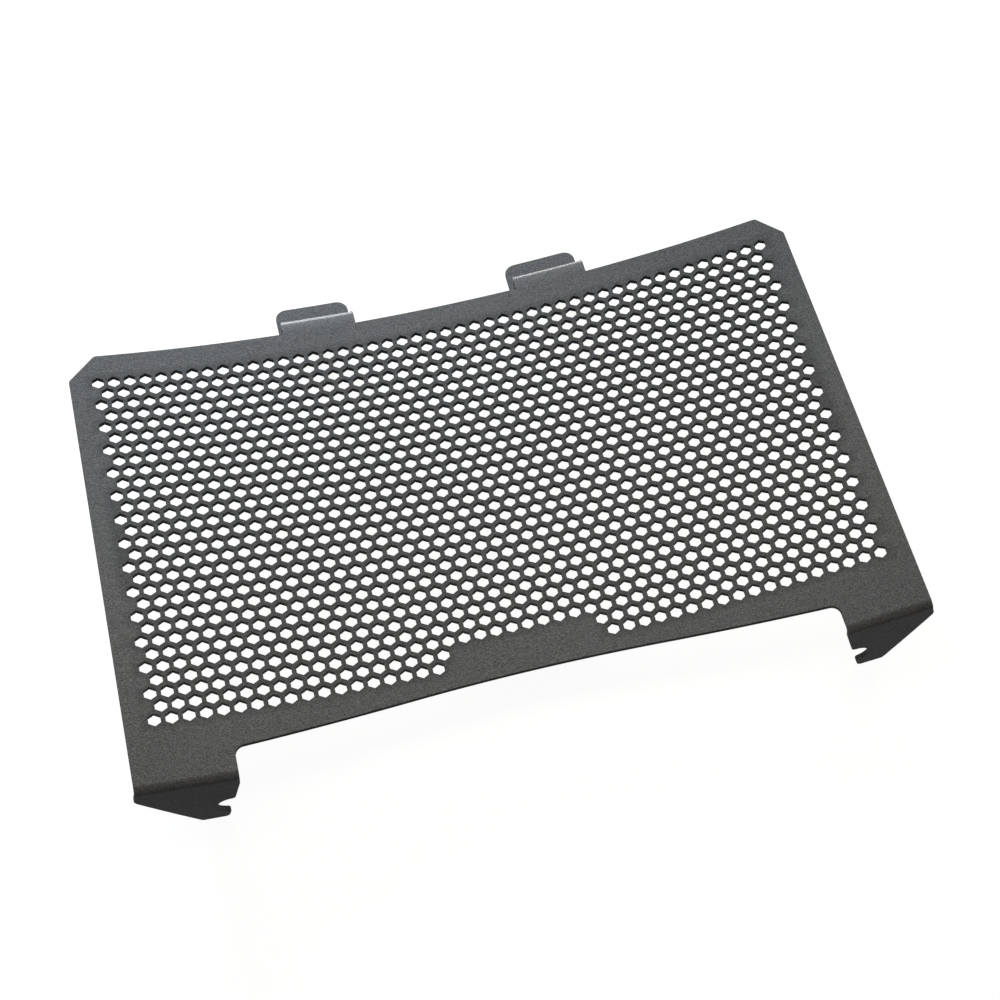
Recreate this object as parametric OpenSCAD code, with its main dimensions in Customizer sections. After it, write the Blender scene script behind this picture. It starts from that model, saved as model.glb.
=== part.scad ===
// Radiator guard for a motorcycle: one aluminium sheet with a field of hexagonal holes, rolled to a gentle
// curve, with two hooked legs folded back at its lower corners and two stepped tabs at its top edge.
// It lies face up: X runs across the face, Y up the face to the tabs, Z out of the face.

/* [Sheet] */
// Thickness of the sheet with its coating
sheet_t = 2.1; // [1.6:0.1:2.6]
// Width of the face, measured along the sheet
face_w = 315.6; // [306:0.2:330]
// Radius that the sheet is rolled to, at the middle of its thickness
roll_r = 756; // [600:1:1500]
// Radius inside each fold
fold_r = 1.2; // [0.6:0.1:2]

/* [Holes] */
// Rows of holes
hole_rows = 15; // [11:2:15]
// Holes in the longest row
hole_cols = 24; // [16:2:24]
// Distance between neighbouring holes
hole_pitch = 12.5; // [11:0.1:12.8]
// Width of the metal left between neighbouring holes
web_w = 3.2; // [1.8:0.1:6]
// Width of the plain patch at the lower edge
patch_w = 66; // [20:1:120]
// Rows of holes that the plain patch interrupts
patch_rows = 1; // [0:1:2]

/* [Edges] */
// Top row of holes to the top edge
top_margin = 17.1; // [15:0.1:24]
// Lowest row of holes to the middle of the lower edge
low_margin = 11.9; // [9:0.1:14]
// Fall of the lower edge from the middle towards each leg, in degrees
low_slope = 4.5; // [1:0.1:6]
// Radius that joins the two slopes of the lower edge
low_crown_r = 650; // [300:10:900]
// Width of the left corner cut
cut_left_w = 11.6; // [5:0.1:12]
// Height of the left corner cut
cut_left_h = 12; // [5:0.1:13]
// Width of the right corner cut
cut_right_w = 9.6; // [5:0.1:12]
// Height of the right corner cut
cut_right_h = 11.5; // [5:0.1:13]
// Radius that blunts the ends of the corner cuts
cut_r = 2; // [0.5:0.1:3]

/* [Legs] */
// Sideways offset of the legs and tabs from the middle of the face
mount_shift = 2.2; // [-5:0.1:5]
// Clear width between the legs
leg_gap = 242.4; // [230:0.2:250]
// Lowest row of holes to the start of the fold
leg_drop = 28.5; // [25:0.1:42]
// Radius where the lower edge turns into a leg
leg_corner_r = 3.9; // [1:0.1:4.5]
// Depth of the hook's end behind the middle of the sheet
hook_depth = 37.2; // [35:0.1:50]
// Depth of the left leg's outer corner behind the middle of the sheet
shoulder_left = 8.2; // [6:0.1:12]
// Depth of the right leg's outer corner behind the middle of the sheet
shoulder_right = 7; // [6:0.1:12]
// Distance that the outer corners stand out past the side edges
shoulder_out = 0.6; // [0:0.1:1]
// Width of the hook's end
hook_w = 10.8; // [9:0.1:14]
// Lean of the hook's inner edge, in degrees
hook_lean = 8.8; // [2:0.1:12]
// Depth at which the inner edge starts to lean
lean_depth = 5.6; // [4:0.1:10]
// Radius of the hook's corners
hook_r = 2; // [0.5:0.1:2.5]
// Radius of the leg's outer corner
shoulder_r = 4.2; // [0.5:0.1:5]

/* [Notches] */
// Radius of the notch that sits on the radiator's peg
notch_r = 5.8; // [4:0.1:6]
// Depth of the notch's centre behind the middle of the sheet
notch_depth = 25.6; // [20:0.1:26]
// Distance of the notch's centre inside the hook's inner edge
notch_in = 0.4; // [0:0.1:2]
// Radius at the mouth of the notch
notch_mouth_r = 1.5; // [0.5:0.1:2]

/* [Tabs] */
// Distance between the middles of the tabs
tab_spacing = 104.4; // [80:0.2:140]
// Width of each tab
tab_w = 32; // [20:0.1:40]
// Top edge to the start of the tab's first fold
tab_rise = 4.6; // [2:0.1:10]
// Distance that each tab steps back, middle of sheet to middle of sheet
tab_step = 23.3; // [10:0.1:30]
// Height of each tab's flap above its step
flap_h = 23.6; // [12:0.1:35]
// Radius of each flap's corners
flap_r = 5; // [1:0.1:8]

/* [Hidden] */
$fn = 96;
// Facets of a full circle as wide as the roll, in a preview
roll_facets = 720;
// Reach of a cutting block past what it cuts
past = 60;
// Overlap that welds a flat to the fold before it
lap = 0.5;
// Excess that makes a round cross the edges it joins, where an exact one would only touch them
graze = 0.01;

half_t = sheet_t / 2;
row_step = hole_pitch * sin(60);
field_top = row_step * (hole_rows - 1) / 2;
hole_corner_r = (hole_pitch - web_w) / 2 / cos(30);
top_y = field_top + top_margin;
low_y = -field_top - low_margin;
low_peak_y = low_y + low_crown_r * (1 / cos(low_slope) - 1);
fold_y = -field_top - leg_drop;
foot_y = fold_y - fold_r - sheet_t;

// Where each leg's inner edge and each tab's middle lie along the sheet: left, then right
SIDES = [-1, 1];
function leg_at(side) = mount_shift + side * leg_gap / 2;
function tab_at(side) = mount_shift + side * tab_spacing / 2;

tab_fold_y = top_y + tab_rise;
step_y = tab_fold_y + fold_r;
flap_base_y = step_y + sheet_t + fold_r;
flap_top_y = step_y + sheet_t + flap_h;

// Inner corner of the hook's end, out from the leg's inner edge
hook_in = (hook_depth - lean_depth) * tan(hook_lean);
mid_y = (flap_top_y + foot_y) / 2;
rest_z = -min([for (side = SIDES) hook_low(side)]);

// Turns a distance along the sheet into an angle about the roll axis
function turn(along) = along / roll_r * 180 / PI;

// Height of the hook's end: the foot of the round on its inner corner
function hook_low(side) =
    let (a = turn(abs(leg_at(side))), x = hook_in + hook_r / tan(45 + hook_lean / 2), d = hook_depth - hook_r)
        roll_r * (1 - cos(a)) + x * sin(a) - d * cos(a) - hook_r;

function unit(v) = v / norm(v);

// Moves what is drawn at the middle of the face to a place further along the sheet
module along_sheet(along) {
    translate([0, 0, roll_r])
        rotate([0, -turn(along), 0])
            translate([0, 0, -roll_r])
                children();
}

// Sweeps a section round the roll axis; its x is the depth behind the middle of the sheet, its y is Y
module rolled(from, to) {
    translate([0, 0, roll_r])
        rotate([-90, 90, 0])
            rotate_extrude(start = -turn(to), angle = turn(to - from), $fn = roll_facets)
                translate([roll_r, 0])
                    children();
}

// What a round of radius r takes off the corner at p, whose edges run towards a and b; it reaches past them
module corner_waste(p, a, b, r) {
    ua = unit(a - p);
    ub = unit(b - p);
    half = acos(ua * ub) / 2;
    c = p + unit(ua + ub) * r / sin(half);
    ta = p + ua * r / tan(half);
    tb = p + ub * r / tan(half);
    difference() {
        polygon([c, 2 * ta - c, 2 * p - c, 2 * tb - c]);
        translate(c)
            circle(r + graze);
    }
}

// Section of a quarter fold about [0, 0]; fx and fy are the signs of the quarter it fills
module quarter_fold(fx, fy) {
    reach = fold_r + sheet_t;
    intersection() {
        difference() {
            circle(reach);
            circle(fold_r);
        }
        translate([fx < 0 ? -reach : 0, fy < 0 ? -reach : 0])
            square(reach);
    }
}

// Hexagonal prisms that punch the holes, each with a corner up; rows are offset by half a pitch
module hole_field() {
    for (row = [0 : hole_rows - 1]) {
        in_row = hole_cols - row % 2;
        for (i = [0 : in_row - 1]) {
            along = (i - (in_row - 1) / 2) * hole_pitch;
            in_patch = row >= hole_rows - patch_rows && abs(along) < patch_w / 2;
            if (!in_patch)
                along_sheet(along)
                    translate([0, field_top - row * row_step, -sheet_t])
                        linear_extrude(2 * sheet_t)
                            polygon([for (a = [30 : 60 : 330]) hole_corner_r * [cos(a), sin(a)]]);
        }
    }
}

// Everything below the lower edge, seen from the front: two slopes joined by a wide round
module below_low_edge() {
    side_y = low_peak_y - face_w / 2 * tan(low_slope);
    peak = [0, low_peak_y];
    left = [-face_w / 2, side_y];
    right = [face_w / 2, side_y];
    translate([mount_shift, 0])
        difference() {
            polygon([left, peak, right, [face_w / 2, side_y - past], [-face_w / 2, side_y - past]]);
            corner_waste(peak, left, right, low_crown_r, $fn = 4 * roll_facets);
        }
}

// The gap between the legs, with its upper corners rounded
module leg_opening() {
    difference() {
        intersection() {
            rolled(leg_at(-1), leg_at(1))
                translate([-past / 2, fold_y - past])
                    square([past, low_y - fold_y + 2 * past]);
            translate([0, 0, -past / 4])
                linear_extrude(past)
                    below_low_edge();
        }
        for (side = SIDES) {
            y = low_peak_y - leg_gap / 2 * tan(low_slope);
            along_sheet(leg_at(side))
                translate([0, 0, -past / 2])
                    linear_extrude(past)
                        corner_waste([0, y], [-side, y + tan(low_slope)], [0, y - 1], leg_corner_r);
        }
    }
}

// The cut across an upper corner of the face, drawn at the side edge; its ends are blunted
module corner_cut(side, w, h) {
    low = [0, top_y - h];
    high = [-side * w, top_y];
    along_sheet(side * face_w / 2)
        translate([0, 0, -past / 2])
            linear_extrude(past) {
                polygon([low, high, high + [0, past], [side * past, top_y + past], low + [side * past, 0]]);
                corner_waste(low, high, low - [0, 1], cut_r);
                corner_waste(high, low, high - [side, 0], cut_r);
            }
}

// The face before its holes are punched
module face_blank() {
    difference() {
        rolled(-face_w / 2, face_w / 2)
            translate([-half_t, fold_y])
                square([sheet_t, top_y - fold_y]);
        leg_opening();
        corner_cut(-1, cut_left_w, cut_left_h);
        corner_cut(1, cut_right_w, cut_right_h);
    }
}

// Notch in an edge that lies along x, with the sheet at positive y; its mouth corners are rounded
module notch() {
    mouth_x = sqrt(pow(notch_r + notch_mouth_r, 2) - pow(notch_mouth_r - notch_in, 2));
    translate([0, notch_in])
        circle(notch_r);
    for (side = SIDES)
        difference() {
            polygon([[0, -sheet_t], [side * mouth_x, -sheet_t], [side * mouth_x, notch_mouth_r], [0, notch_in]]);
            translate([side * mouth_x, notch_mouth_r])
                circle(notch_mouth_r + graze);
        }
}

// Outline of a leg's folded part: x runs out from the inner edge, y is up towards the sheet
module leg_outline(leg_w, shoulder_depth) {
    edge_way = [sin(turn(leg_w)), -cos(turn(leg_w))];
    shoulder_way = [sin(turn(leg_w + shoulder_out)), -cos(turn(leg_w + shoulder_out))];
    top_in = [0, 0];
    lean_from = [0, -lean_depth];
    end_in = [hook_in, -hook_depth];
    end_out = [hook_in + hook_w, -hook_depth];
    shoulder = [0, roll_r] + (roll_r + shoulder_depth) * shoulder_way;
    flare_from = [0, roll_r] + (roll_r + half_t + fold_r + 2 * lap) * edge_way;
    top_out = [0, roll_r] + roll_r * edge_way;
    notch_at = [(notch_depth - lean_depth) * tan(hook_lean), -notch_depth];
    difference() {
        polygon([top_in, lean_from, end_in, end_out, shoulder, flare_from, top_out]);
        translate([0, roll_r])
            circle(roll_r + half_t + fold_r, $fn = 4 * roll_facets);
        translate(notch_at)
            rotate(hook_lean - 90)
                notch();
        corner_waste(end_in, lean_from, end_out, hook_r);
        corner_waste(end_out, end_in, shoulder, hook_r);
        corner_waste(shoulder, end_out, flare_from, shoulder_r);
    }
}

module leg(side, shoulder_depth) {
    inner = leg_at(side);
    outer = side * face_w / 2;
    leg_w = side * (outer - inner);
    rolled(min(inner, outer), max(inner, outer))
        translate([half_t + fold_r, 0]) {
            translate([0, fold_y])
                quarter_fold(-1, -1);
            translate([0, foot_y])
                square([lap, sheet_t]);
        }
    along_sheet(inner)
        translate([0, fold_y - fold_r, 0])
            rotate([90, 0, 0])
                linear_extrude(sheet_t)
                    scale([side, 1])
                        leg_outline(leg_w, shoulder_depth);
}

// Section of a tab: up from the face, back over the radiator, and up again
module tab_section() {
    turn_back_x = half_t + fold_r;
    turn_up_x = tab_step - half_t - fold_r;
    translate([-half_t, top_y - sheet_t])
        square([sheet_t, tab_rise + sheet_t]);
    translate([turn_back_x, tab_fold_y])
        quarter_fold(-1, 1);
    translate([turn_back_x, step_y])
        square([turn_up_x - turn_back_x, sheet_t]);
    translate([turn_up_x, flap_base_y])
        quarter_fold(1, -1);
    translate([tab_step - half_t, flap_base_y])
        square([sheet_t, flap_top_y - flap_base_y]);
}

// What is trimmed off a tab at its side edge; inward is the sign of the way into the tab
module tab_trim(inward) {
    corner = [0, flap_top_y];
    foot = top_y - 2 * sheet_t;
    translate([inward > 0 ? -past : 0, foot])
        square([past, flap_top_y - foot]);
    corner_waste(corner, corner + [inward, 0], corner - [0, 1], flap_r);
}

module tab(side) {
    left = tab_at(side) - tab_w / 2;
    right = tab_at(side) + tab_w / 2;
    difference() {
        rolled(left - lap, right + lap)
            tab_section();
        for (edge = [[left, 1], [right, -1]])
            along_sheet(edge[0])
                translate([0, 0, -tab_step - past / 2])
                    linear_extrude(past)
                        tab_trim(edge[1]);
    }
}

module radiator_guard() {
    color("#4a4b4c")
        translate([0, -mid_y, rest_z])
            difference() {
                union() {
                    face_blank();
                    leg(-1, shoulder_left);
                    leg(1, shoulder_right);
                    for (side = SIDES)
                        tab(side);
                }
                hole_field();
            }
}

radiator_guard();
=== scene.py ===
import math

import bpy
import numpy as np
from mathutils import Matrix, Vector
from mathutils.geometry import delaunay_2d_cdt


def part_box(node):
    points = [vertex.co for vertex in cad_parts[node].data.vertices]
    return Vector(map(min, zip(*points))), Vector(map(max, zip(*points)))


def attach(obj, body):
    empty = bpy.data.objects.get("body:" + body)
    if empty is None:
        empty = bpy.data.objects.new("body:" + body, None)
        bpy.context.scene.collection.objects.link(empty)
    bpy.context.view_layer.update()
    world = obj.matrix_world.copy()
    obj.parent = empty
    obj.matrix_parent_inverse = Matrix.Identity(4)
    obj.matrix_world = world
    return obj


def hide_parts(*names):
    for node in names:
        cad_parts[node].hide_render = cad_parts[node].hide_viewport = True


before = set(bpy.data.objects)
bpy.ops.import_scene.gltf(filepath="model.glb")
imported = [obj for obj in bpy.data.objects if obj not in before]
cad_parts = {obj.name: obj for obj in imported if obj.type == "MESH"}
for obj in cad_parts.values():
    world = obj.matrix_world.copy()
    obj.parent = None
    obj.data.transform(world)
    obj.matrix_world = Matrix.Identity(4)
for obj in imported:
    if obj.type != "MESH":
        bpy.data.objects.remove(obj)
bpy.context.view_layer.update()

# The guard is one sheet of aluminium, 2.1 mm thick with its coating. It is cut flat, rolled to a gentle
# curve, and folded: two legs turn back at its lower corners, and two tabs at its top edge step back and up
# again. Sizes are in millimetres, and the heights come from the frame's box.
mm = 0.001
sheet_t = 2.1
half_t = sheet_t / 2
face_w = 315.6
roll_r = 756.0
fold_r = 1.2
bend_r = fold_r + half_t
bend_len = bend_r * math.pi / 2
tab_rise, tab_step, flap_h = 4.6, 23.3, 23.6
lowest, highest = (np.array(corner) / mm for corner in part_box("radiator_guard"))

fold_y = lowest[1] + sheet_t + fold_r
flap_top_y = highest[1]
tab_fold_y = flap_top_y - flap_h - sheet_t - fold_r
top_y = tab_fold_y - tab_rise
step_len = tab_step - 2 * bend_r
edge_turn = face_w / 2 / roll_r
face_z = highest[2] - roll_r * (1 - math.cos(edge_turn)) - half_t * math.cos(edge_turn)


def sheet_at(up):
    """Where the folded sheet's middle lies at a distance up the flat sheet: its depth behind the face and its
    height, then the depth and height of the direction that its front side faces"""
    step_from = tab_fold_y + bend_len
    flap_from = step_from + step_len + bend_len
    if up < fold_y - bend_len:
        return bend_r + fold_y - bend_len - up, fold_y - bend_r, 0.0, -1.0
    if up < fold_y:
        turn = (fold_y - up) / bend_r
        sine, cosine = math.sin(turn), math.cos(turn)
        return bend_r * (1 - cosine), fold_y - bend_r * sine, -cosine, -sine
    if up <= tab_fold_y:
        return 0.0, up, -1.0, 0.0
    if up < step_from:
        turn = (up - tab_fold_y) / bend_r
        sine, cosine = math.sin(turn), math.cos(turn)
        return bend_r * (1 - cosine), tab_fold_y + bend_r * sine, -cosine, sine
    if up <= step_from + step_len:
        return bend_r + up - step_from, tab_fold_y + bend_r, 0.0, 1.0
    if up < flap_from:
        turn = (up - step_from - step_len) / bend_r
        sine, cosine = math.sin(turn), math.cos(turn)
        return tab_step - bend_r * (1 - sine), tab_fold_y + bend_r * (2 - cosine), -sine, cosine
    return tab_step, tab_fold_y + 2 * bend_r + up - flap_from, -1.0, 0.0


# The legs' folded parts are plates with hooked ends. Each is drawn in its own plane, down the leaning inner
# edge, round the notch that grips the radiator's peg, round the hook's end, and up the sloping outer edge to
# the shoulder, which stands out past the side of the face. The left shoulder is the deeper one.
mount_shift = 2.2
leg_gap = 242.4
leg_in = {side: mount_shift + side * leg_gap / 2 for side in (-1, 1)}
shoulder_depth = {-1: 8.2, 1: 7.0}
shoulder_out, flare_depth = 0.6, bend_r + 1
lean = math.radians(8.8)
lean_depth, hook_depth, notch_depth = 5.6, 37.2, 25.6
hook_w, hook_r, shoulder_r = 10.8, 2.0, 4.2
notch_r, notch_in, mouth_r = 5.8, 0.4, 1.5
notch_parts, mouth_parts = 24, 5


def rounded(corners, arc_step=0.6, wide_r=20, wide_step=5):
    """An open line through corners, each given as x, y and the radius that rounds it"""
    line = [corners[0][:2]]
    for before, (x, y, radius), after in zip(corners, corners[1:], corners[2:]):
        if radius == 0:
            line.append((x, y))
            continue
        corner = np.array([x, y])
        to_before, to_after = (np.array(other[:2]) - corner for other in (before, after))
        to_before /= np.linalg.norm(to_before)
        to_after /= np.linalg.norm(to_after)
        half = math.acos(float(to_before @ to_after)) / 2
        middle = to_before + to_after
        centre = corner + middle / np.linalg.norm(middle) * radius / math.sin(half)
        spokes = [corner + way * radius / math.tan(half) - centre for way in (to_before, to_after)]
        start, end = (math.atan2(spoke[1], spoke[0]) for spoke in spokes)
        sweep = (end - start + math.pi) % (2 * math.pi) - math.pi
        count = max(3, round(abs(sweep) * radius / (arc_step if radius < wide_r else wide_step)))
        for k in range(count + 1):
            angle = start + sweep * k / count
            line.append((centre[0] + radius * math.cos(angle), centre[1] + radius * math.sin(angle)))
    return line + [corners[-1][:2]]


def notch_line():
    """The notch in an edge that runs along x, from one rounded mouth corner round to the other"""
    mouth_x = math.sqrt((notch_r + mouth_r) ** 2 - (mouth_r - notch_in) ** 2)
    dip = math.asin((mouth_r - notch_in) / (notch_r + mouth_r))
    mouth, round_part = [], []
    for k in range(mouth_parts + 1):
        angle = -math.pi / 2 + (math.pi / 2 - dip) * k / mouth_parts
        mouth.append((-mouth_x + mouth_r * math.cos(angle), mouth_r + mouth_r * math.sin(angle)))
    for k in range(1, notch_parts):
        angle = math.pi - dip - (math.pi - 2 * dip) * k / notch_parts
        round_part.append((notch_r * math.cos(angle), notch_in + notch_r * math.sin(angle)))
    return mouth + round_part + [(-x, y) for x, y in reversed(mouth)]


def leg_line(side):
    """One leg's outline below its fold, on the flat sheet, from the inner edge round to the shoulder"""
    edge_way = np.array([math.sin(lean), -math.cos(lean)])
    inward = np.array([math.cos(lean), math.sin(lean)])
    notch_at = np.array([(notch_depth - lean_depth) * math.tan(lean), -notch_depth])
    notch = [tuple(notch_at + along * edge_way + into * inward) for along, into in notch_line()]
    end_x = (hook_depth - lean_depth) * math.tan(lean)
    edge_in = face_w / 2 - side * leg_in[side]
    shoulder, above = (
        [(roll_r + depth) * math.sin(far / roll_r), roll_r - (roll_r + depth) * math.cos(far / roll_r)]
        for far, depth in ((edge_in + shoulder_out, shoulder_depth[side]), (edge_in, flare_depth))
    )
    end = [(end_x, -hook_depth, hook_r), (end_x + hook_w, -hook_depth, hook_r)]
    tip = rounded([(*notch[-1], 0), *end, (*shoulder, shoulder_r), (*above, 0)], arc_step=0.5)
    line = []
    for x, y in [(0.0, -lean_depth)] + notch + tip[1:]:
        depth = math.hypot(x, roll_r - y) - roll_r
        along = leg_in[side] + side * roll_r * math.atan2(x, roll_r - y)
        line.append((along, fold_y - bend_len - depth + bend_r))
    return line


# The holes are a honeycomb field of hexagons, each with a corner up. The two lowest rows leave a plain patch
# in the middle of the lower edge.
hole_pitch = 6.5
hole_flats = 4.7
hole_rows, hole_cols = 29, 46
top_rim, low_rim = 14.07, 8.87
patch_rows, patch_half_w = 2, 5 * hole_pitch
row_step = hole_pitch * math.sin(math.radians(60))
top_row_y = top_y - top_rim
low_row_y = top_row_y - row_step * (hole_rows - 1)
hole_corner_r = hole_flats / 2 / math.cos(math.radians(30))

hole_lines = []
for row in range(hole_rows):
    in_row = hole_cols - row % 2
    for i in range(in_row):
        x = (i - (in_row - 1) / 2) * hole_pitch
        y = top_row_y - row * row_step
        if row >= hole_rows - patch_rows and abs(x) < patch_half_w:
            continue
        angles = [math.radians(90 - 60 * k) for k in range(6)]
        hole_lines.append([
            (x + hole_corner_r * math.cos(angle), y + hole_corner_r * math.sin(angle)) for angle in angles
        ])

# The outline of the flat sheet is one closed line. The lower edge falls in two shallow slopes from its middle
# to the legs, the upper corners are cut off at a slant, and the flaps of the two tabs have round corners.
low_slope = math.tan(math.radians(4.5))
low_crown_r = 650.0
low_peak_y = low_row_y - low_rim + low_crown_r * (math.hypot(1, low_slope) - 1)
leg_corner_r = 3.9
cut_w = {-1: 11.6, 1: 9.6}
cut_h = {-1: 12.0, 1: 11.5}
cut_r = 2.0
tab_spacing, tab_w, flap_r = 104.4, 32.0, 5.0
tab_middles = [mount_shift + side * tab_spacing / 2 for side in (-1, 1)]
tab_spans = [(middle - tab_w / 2, middle + tab_w / 2) for middle in tab_middles]
flap_end = flap_top_y + 2 * bend_len + step_len - 2 * bend_r

leg_top_y = low_peak_y - leg_gap / 2 * low_slope
low_line = rounded([
    (leg_in[-1], fold_y + 1, 0),
    (leg_in[-1], leg_top_y, leg_corner_r),
    (mount_shift, low_peak_y, low_crown_r),
    (leg_in[1], leg_top_y, leg_corner_r),
    (leg_in[1], fold_y + 1, 0),
])
right_leg = leg_line(1)
left_leg = leg_line(-1)
top_corners = [(face_w / 2, right_leg[-1][1], 0), (face_w / 2, top_y - cut_h[1], cut_r)]
top_corners.append((face_w / 2 - cut_w[1], top_y, cut_r))
for left, right in reversed(tab_spans):
    top_corners += [(right, top_y, 0), (right, flap_end, flap_r), (left, flap_end, flap_r), (left, top_y, 0)]
top_corners += [(-face_w / 2 + cut_w[-1], top_y, cut_r), (-face_w / 2, top_y - cut_h[-1], cut_r)]
top_corners.append((-face_w / 2, left_leg[-1][1], 0))
outline = low_line + right_leg + rounded(top_corners)[1:-1] + left_leg[::-1]

bend_parts = 6
bend_lines = [
    low + bend_len * k / bend_parts
    for low in (fold_y - bend_len, tab_fold_y, tab_fold_y + bend_len + step_len)
    for k in range(bend_parts + 1)
]


def divided(line, longest=6.0):
    """A closed line cut up so that it has a point on each bend line and no long steps"""
    points = []
    for (x0, y0), (x1, y1) in zip(line, line[1:] + line[:1]):
        length = math.hypot(x1 - x0, y1 - y0)
        if length < 1e-6:
            continue
        stops = {0.0}
        if abs(y1 - y0) > 1e-9:
            stops |= {t for t in ((bend - y0) / (y1 - y0) for bend in bend_lines) if 1e-6 < t < 1 - 1e-6}
        stops = sorted(stops) + [1.0]
        for t0, t1 in zip(stops, stops[1:]):
            pieces = max(1, math.ceil((t1 - t0) * length / longest))
            for k in range(pieces):
                t = t0 + (t1 - t0) * k / pieces
                points.append((x0 + (x1 - x0) * t, y0 + (y1 - y0) * t))
    return points


# Coating and cutting leave every edge a little soft. So each closed line gets a second one just inside the
# metal, which lies on its left, and the flat sides are cut into triangles between those inner lines.
edge_soft, hole_soft = 0.22, 0.03
edges = []
for line in [divided(outline)] + hole_lines:
    soft = hole_soft if edges else edge_soft
    points = np.array(line)
    came = points - np.roll(points, 1, axis=0)
    goes = np.roll(points, -1, axis=0) - points
    came /= np.linalg.norm(came, axis=1)[:, None]
    goes /= np.linalg.norm(goes, axis=1)[:, None]
    goes_left = np.stack([-goes[:, 1], goes[:, 0]], axis=1)
    into_metal = np.stack([-came[:, 1], came[:, 0]], axis=1) + goes_left
    into_metal /= np.linalg.norm(into_metal, axis=1)[:, None]
    corner_reach = np.clip(1 / np.maximum((into_metal * goes_left).sum(axis=1), 0.3), 1, 2)
    edges.append((points, points + into_metal * (soft * corner_reach)[:, None], -into_metal))

sheet_points = np.concatenate([inner for _, inner, _ in edges])
edge_start = np.cumsum([0] + [len(inner) for _, inner, _ in edges])
sheet_lines = []
for k, (points, _, _) in enumerate(edges):
    count = len(points)
    sheet_lines += [(int(edge_start[k] + j), int(edge_start[k] + (j + 1) % count)) for j in range(count)]


def on_sheet(x, y):
    """True inside the outline, whatever the holes"""
    line = edges[0][1]
    after = np.roll(line, -1, axis=0)
    passes = (line[:, 1] > y) != (after[:, 1] > y)
    slant = (after[passes, 0] - line[passes, 0]) / (after[passes, 1] - line[passes, 1])
    return np.count_nonzero(line[passes, 0] + (y - line[passes, 1]) * slant > x) % 2 == 1


# One line of points crosses the sheet on each bend line, and loose points over the plain parts keep the
# triangles small there, so that they follow the roll.
bend_step, plain_step = 5.0, 5.5
first_gap, last_gap, joins_edge = 4, 3, 1.0
clear_of_bend, clear_of_edge = 1.2, 2.0
leg_reach = 36
field_half_w, field_rim = 148, 3
bare_half_w, bare_h = 30, 9
loose = []
leg_spans = [(-face_w / 2, leg_in[-1]), (leg_in[1], face_w / 2)]
for bend in bend_lines:
    for left, right in leg_spans if bend < top_y else tab_spans:
        inside = np.arange(left + first_gap, right - last_gap, bend_step)
        row = [left + edge_soft, *inside, right - edge_soft]
        chain = []
        for x in row:
            gaps = np.abs(edges[0][1] - (x, bend)).sum(axis=1)
            if x in (row[0], row[-1]) and gaps.min() < joins_edge:
                chain.append(int(np.argmin(gaps)))
            else:
                chain.append(len(sheet_points) + len(loose))
                loose.append((x, bend))
        sheet_lines += list(zip(chain, chain[1:]))
for y in np.arange(fold_y - leg_reach, flap_end, plain_step):
    for x in np.arange(-face_w / 2 + first_gap, face_w / 2, plain_step):
        in_field = low_row_y - field_rim < y < top_row_y + field_rim and abs(x) < field_half_w
        in_patch = y < low_row_y + bare_h and abs(x) < bare_half_w
        near_bend = min(abs(y - bend) for bend in bend_lines) < clear_of_bend
        near_edge = np.abs(sheet_points - (x, y)).max(axis=1).min() < clear_of_edge
        if (in_patch or not in_field) and not near_bend and not near_edge and on_sheet(x, y):
            loose.append((x, y))

every_point = [Vector(point) for point in np.concatenate([sheet_points, np.array(loose)])]
flat_points, _, triangles, origins, _, _ = delaunay_2d_cdt(every_point, sheet_lines, [], 1, 1e-6, True)
flat_points = np.array([tuple(point) for point in flat_points])
new_index = {old: new for new, sources in enumerate(origins) for old in sources}

hole_middles = np.array([points.mean(axis=0) for points, _, _ in edges[1:]])
metal = []
for triangle in triangles:
    corners = flat_points[list(triangle)]
    middle = corners.mean(axis=0)
    ring = edges[1 + np.argmin(np.abs(hole_middles - middle).sum(axis=1))][1]
    way = np.roll(ring, -1, axis=0) - ring
    in_hole = np.all(way[:, 0] * (middle[1] - ring[:, 1]) < way[:, 1] * (middle[0] - ring[:, 0]))
    if in_hole or not on_sheet(*middle):
        continue
    one, two = corners[1] - corners[0], corners[2] - corners[0]
    metal.append(tuple(triangle) if one[0] * two[1] > one[1] * two[0] else tuple(triangle)[::-1])

# The flat pattern is bent to shape: both sides of the sheet, then the walls of the outline and of each hole.
# Each point keeps the way it faces, so that the roll and the folds look smooth and the cut edges crisp.
bent_points, facing, faces = [], [], []


def add_point(flat, out, wall=None):
    """A point of the bent sheet, out from its middle, on a side or, where wall is its direction, on a wall"""
    along, up = flat
    depth, y, face_depth, face_y = sheet_at(up)
    turn = along / roll_r
    radius = roll_r + depth + face_depth * out
    y += face_y * out
    x, z = radius * math.sin(turn), face_z + roll_r - radius * math.cos(turn)
    bent_points.append((x * mm, y * mm, z * mm))
    if wall is None:
        way_depth, way_y, way_along = face_depth * np.sign(out), face_y * np.sign(out), 0.0
    else:
        way_depth, way_y, way_along = face_y * wall[1], -face_depth * wall[1], wall[0]
    way_x = way_along * math.cos(turn) + way_depth * math.sin(turn)
    way_z = way_along * math.sin(turn) - way_depth * math.cos(turn)
    facing.append(Vector((way_x, way_y, way_z)).normalized())
    return len(bent_points) - 1


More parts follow.
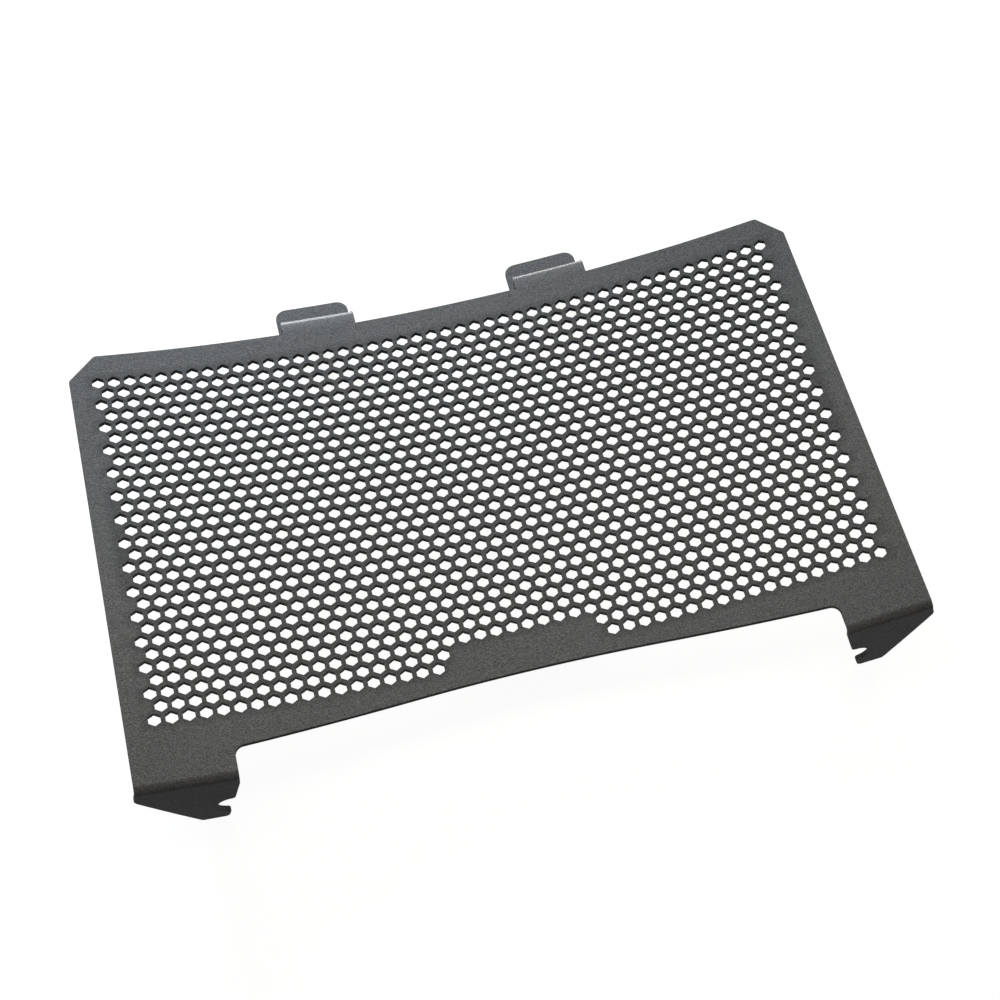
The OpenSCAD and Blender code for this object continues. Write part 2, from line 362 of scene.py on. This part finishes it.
# Points on the edges and walls of the holes are marked, and the painted shade round the holes darkens them.
on_holes = {new_index[i] for i in range(int(edge_start[1]), len(sheet_points))}
painted_hole_shade = [float(i in on_holes) for i in range(len(flat_points))] * 2
front = [add_point(point, half_t) for point in flat_points]
back = [add_point(point, -half_t) for point in flat_points]
for a, b, c in metal:
    faces += [(front[a], front[b], front[c]), (back[a], back[c], back[b])]
for k, (points, _, outward) in enumerate(edges):
    count = len(points)
    soft = hole_soft if k else edge_soft
    own = [new_index[int(edge_start[k] + j)] for j in range(count)]
    rings = [
        [front[i] for i in own],
        [add_point(points[j], half_t - soft, outward[j]) for j in range(count)],
        [add_point(points[j], soft - half_t, outward[j]) for j in range(count)],
        [back[i] for i in own],
    ]
    painted_hole_shade += [float(k > 0)] * (2 * count)
    for upper, lower in zip(rings, rings[1:]):
        faces += [(upper[j - 1], lower[j - 1], lower[j], upper[j]) for j in range(count)]

mesh = bpy.data.meshes.new("guard_sheet")
mesh.from_pydata(bent_points, [], faces)
mesh.polygons.foreach_set("use_smooth", [True] * len(mesh.polygons))
mesh.normals_split_custom_set_from_vertices(facing)
mesh.attributes.new("painted_hole_shade", "FLOAT", "POINT").data.foreach_set("value", painted_hole_shade)
guard = bpy.data.objects.new("guard_sheet", mesh)
bpy.context.collection.objects.link(guard)

# The whole guard has a matt powder coat in charcoal grey. The powder melts into a skin of fine grains, some a
# little lighter than the rest, over a slight cloudiness.
coat = bpy.data.materials.new("charcoal_powder_coat")
coat.use_nodes = True
nodes, links = coat.node_tree.nodes, coat.node_tree.links
paint = nodes["Principled BSDF"]
place = nodes.new("ShaderNodeTexCoord")


def coat_noise(scale, detail):
    """A noise over the coat, with so many grains to the metre"""
    noise = nodes.new("ShaderNodeTexNoise")
    noise.inputs["Scale"].default_value = scale
    noise.inputs["Detail"].default_value = detail
    links.new(place.outputs["Object"], noise.inputs["Vector"])
    return noise.outputs["Fac"]


def spread(value, low, high, to_low, to_high):
    """A value with its range stretched to another"""
    node = nodes.new("ShaderNodeMapRange")
    for name, number in (("From Min", low), ("From Max", high), ("To Min", to_low), ("To Max", to_high)):
        node.inputs[name].default_value = number
    links.new(value, node.inputs["Value"])
    return node.outputs["Result"]


def joined(operation, one, two):
    """Two values added or multiplied"""
    node = nodes.new("ShaderNodeMath")
    node.operation = operation
    links.new(one, node.inputs[0])
    links.new(two, node.inputs[1])
    return node.outputs[0]


def parts_of(vector):
    """A vector's X, Y and Z"""
    node = nodes.new("ShaderNodeSeparateXYZ")
    links.new(vector, node.inputs[0])
    return node.outputs


grain = coat_noise(1650, 1)
mottle = coat_noise(520, 2)
cloud = coat_noise(14, 2)
shade = joined("MULTIPLY", spread(grain, 0.3, 0.7, 0.62, 1.38), spread(mottle, 0.3, 0.7, 0.94, 1.06))
shade = joined("MULTIPLY", shade, spread(cloud, 0.3, 0.7, 0.95, 1.05))

# Painted shade: the narrow webs between the holes are painted darker than the margins. The cut edges of the
# face are painted darker still, most of all the walls of its holes, for the shade that falls inside them.
painted_web_shade = nodes.new("ShaderNodeAttribute")
painted_web_shade.attribute_name = "painted_hole_shade"
shade = joined("MULTIPLY", shade, spread(painted_web_shade.outputs["Fac"], 0.2, 1.0, 1.0, 0.68))
at, faces_way = parts_of(place.outputs["Object"]), parts_of(place.outputs["Normal"])
# Painted shade on the face's sideways walls: its cut edges and the walls of its holes are darkened.
painted_wall_shade = spread(joined("MULTIPLY", faces_way["Z"], faces_way["Z"]), 0.1, 0.35, 1.0, 0.0)
painted_wall_shade = joined("MULTIPLY", painted_wall_shade, spread(at["Y"], fold_y * mm, (fold_y + 1) * mm, 0.0, 1.0))
painted_wall_shade = joined("MULTIPLY", painted_wall_shade, spread(at["Y"], (tab_fold_y - 0.5) * mm, tab_fold_y * mm, 1.0, 0.0))
shade = joined("MULTIPLY", shade, spread(painted_wall_shade, 0.0, 1.0, 1.0, 0.12))
tint = nodes.new("ShaderNodeMix")
tint.data_type = "RGBA"
tint.inputs["A"].default_value = (0.0, 0.0, 0.0, 1)
tint.inputs["B"].default_value = (0.172, 0.172, 0.171, 1)
links.new(spread(shade, 0.0, 2.0, 0.0, 1.0), tint.inputs["Factor"])
links.new(tint.outputs["Result"], paint.inputs["Base Color"])
links.new(spread(grain, 0.3, 0.7, 0.55, 0.7), paint.inputs["Roughness"])
paint.inputs["Specular IOR Level"].default_value = 0.06
bump = nodes.new("ShaderNodeBump")
bump.inputs["Strength"].default_value = 0.8
bump.inputs["Distance"].default_value = 0.0002
links.new(joined("ADD", grain, mottle), bump.inputs["Height"])
links.new(bump.outputs["Normal"], paint.inputs["Normal"])

# The powder is drawn out smooth and shiny where it goes over the tabs' folds, but not on the cut edges beside
# them.
near_fold = spread(at["Y"], top_y * mm, tab_fold_y * mm, 0.0, 0.6)
in_front = spread(at["Z"], (face_z - 8) * mm, (face_z - 4) * mm, 0.0, 1.0)
uncut = spread(joined("MULTIPLY", faces_way["X"], faces_way["X"]), 0.05, 0.2, 1.0, 0.0)
links.new(joined("MULTIPLY", joined("MULTIPLY", near_fold, in_front), uncut), paint.inputs["Coat Weight"])
paint.inputs["Coat Roughness"].default_value = 0.32
mesh.materials.append(coat)

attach(guard, "root")
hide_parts("radiator_guard")

# The guard lies on a plain white floor, a sweep of paper. What the camera sees of it is lifted towards white,
# and it keeps the guard's shadow.
floor_mesh = bpy.data.meshes.new("floor")
floor_half = 4.0
floor_corners = [(x * floor_half, y * floor_half, 0) for x, y in ((-1, -1), (1, -1), (1, 1), (-1, 1))]
floor_mesh.from_pydata(floor_corners, [], [(0, 1, 2, 3)])
floor = bpy.data.objects.new("floor", floor_mesh)
bpy.context.collection.objects.link(floor)


def seen_directly(tree):
    """1 for what the camera sees straight on, in a gloss or through glass"""
    path = tree.nodes.new("ShaderNodeLightPath")
    most = None
    for name in ("Is Camera Ray", "Is Glossy Ray", "Is Transmission Ray"):
        if most is None:
            most = path.outputs[name]
            continue
        larger = tree.nodes.new("ShaderNodeMath")
        larger.operation = "MAXIMUM"
        tree.links.new(most, larger.inputs[0])
        tree.links.new(path.outputs[name], larger.inputs[1])
        most = larger.outputs[0]
    return most


floor_paint = bpy.data.materials.new("white_floor")
floor_paint.use_nodes = True
floor_tree = floor_paint.node_tree
floor_shader = floor_tree.nodes["Principled BSDF"]
floor_shader.inputs["Base Color"].default_value = (0.15, 0.15, 0.15, 1)
floor_shader.inputs["Roughness"].default_value = 0.9
floor_shader.inputs["Specular IOR Level"].default_value = 0.0
floor_shader.inputs["Emission Color"].default_value = (0.93, 0.93, 0.93, 1)
floor_tree.links.new(seen_directly(floor_tree), floor_shader.inputs["Emission Strength"])
floor_mesh.materials.append(floor_paint)

# The studio round it is white where it shows, and gives a weaker even light everywhere else.
world = bpy.data.worlds.new("white_studio")
bpy.context.scene.world = world
world.use_nodes = True
studio = world.node_tree
backdrop = studio.nodes["Background"]
backdrop.inputs["Strength"].default_value = 1.0
backdrop_tint = studio.nodes.new("ShaderNodeMix")
backdrop_tint.data_type = "RGBA"
backdrop_tint.inputs["A"].default_value = (0.25, 0.25, 0.25, 1)
backdrop_tint.inputs["B"].default_value = (1, 1, 1, 1)
studio.links.new(seen_directly(studio), backdrop_tint.inputs["Factor"])
studio.links.new(backdrop_tint.outputs["Result"], backdrop.inputs["Color"])


# Four soft boxes: a wide one low behind the tabs, a warm one behind on the right, a cool one close by on the
# left, and a weak one over the lower edge. None of them shows in the picture itself.
def soft_box(name, at, width, height, power, tint):
    data = bpy.data.lights.new(name, "AREA")
    data.shape = "RECTANGLE"
    data.size, data.size_y = width, height
    data.energy = power
    data.color = tint
    lamp = bpy.data.objects.new(name, data)
    lamp.location = at
    lamp.visible_camera = False
    lamp.rotation_euler = (Vector((0, 0, 0.02)) - Vector(at)).to_track_quat("-Z", "Y").to_euler()
    bpy.context.collection.objects.link(lamp)


soft_box("back_soft_box", (0.0, 1.1, 0.14), 1.2, 0.12, 11.9, (1.0, 0.97, 0.92))
soft_box("warm_soft_box", (0.9, 0.9, 0.4), 0.6, 0.4, 6.2, (1.0, 0.82, 0.6))
soft_box("cool_soft_box", (-0.14, 0.42, 0.22), 0.3, 0.15, 3.2, (0.72, 0.85, 1.0))
soft_box("low_soft_box", (0.0, -0.06, 0.2), 0.45, 0.06, 0.24, (1.0, 0.92, 0.8))

# The camera looks down on the face from below its middle, as the photograph does, and its shift sets the
# guard where the photograph has it.
camera_data = bpy.data.cameras.new("camera")
camera_data.lens = 54.0
camera_data.sensor_width = 36.0
camera_data.shift_x, camera_data.shift_y = -0.0461, 0.205
camera = bpy.data.objects.new("camera", camera_data)
camera.location = (-0.0561, -0.3358, 0.5653)
looks_along = Vector((0.0983, 0.3816, -0.9191))
camera.rotation_euler = looks_along.to_track_quat("-Z", "Y").to_euler()
bpy.context.collection.objects.link(camera)
bpy.context.scene.camera = camera
bpy.context.scene.view_settings.view_transform = "Standard"
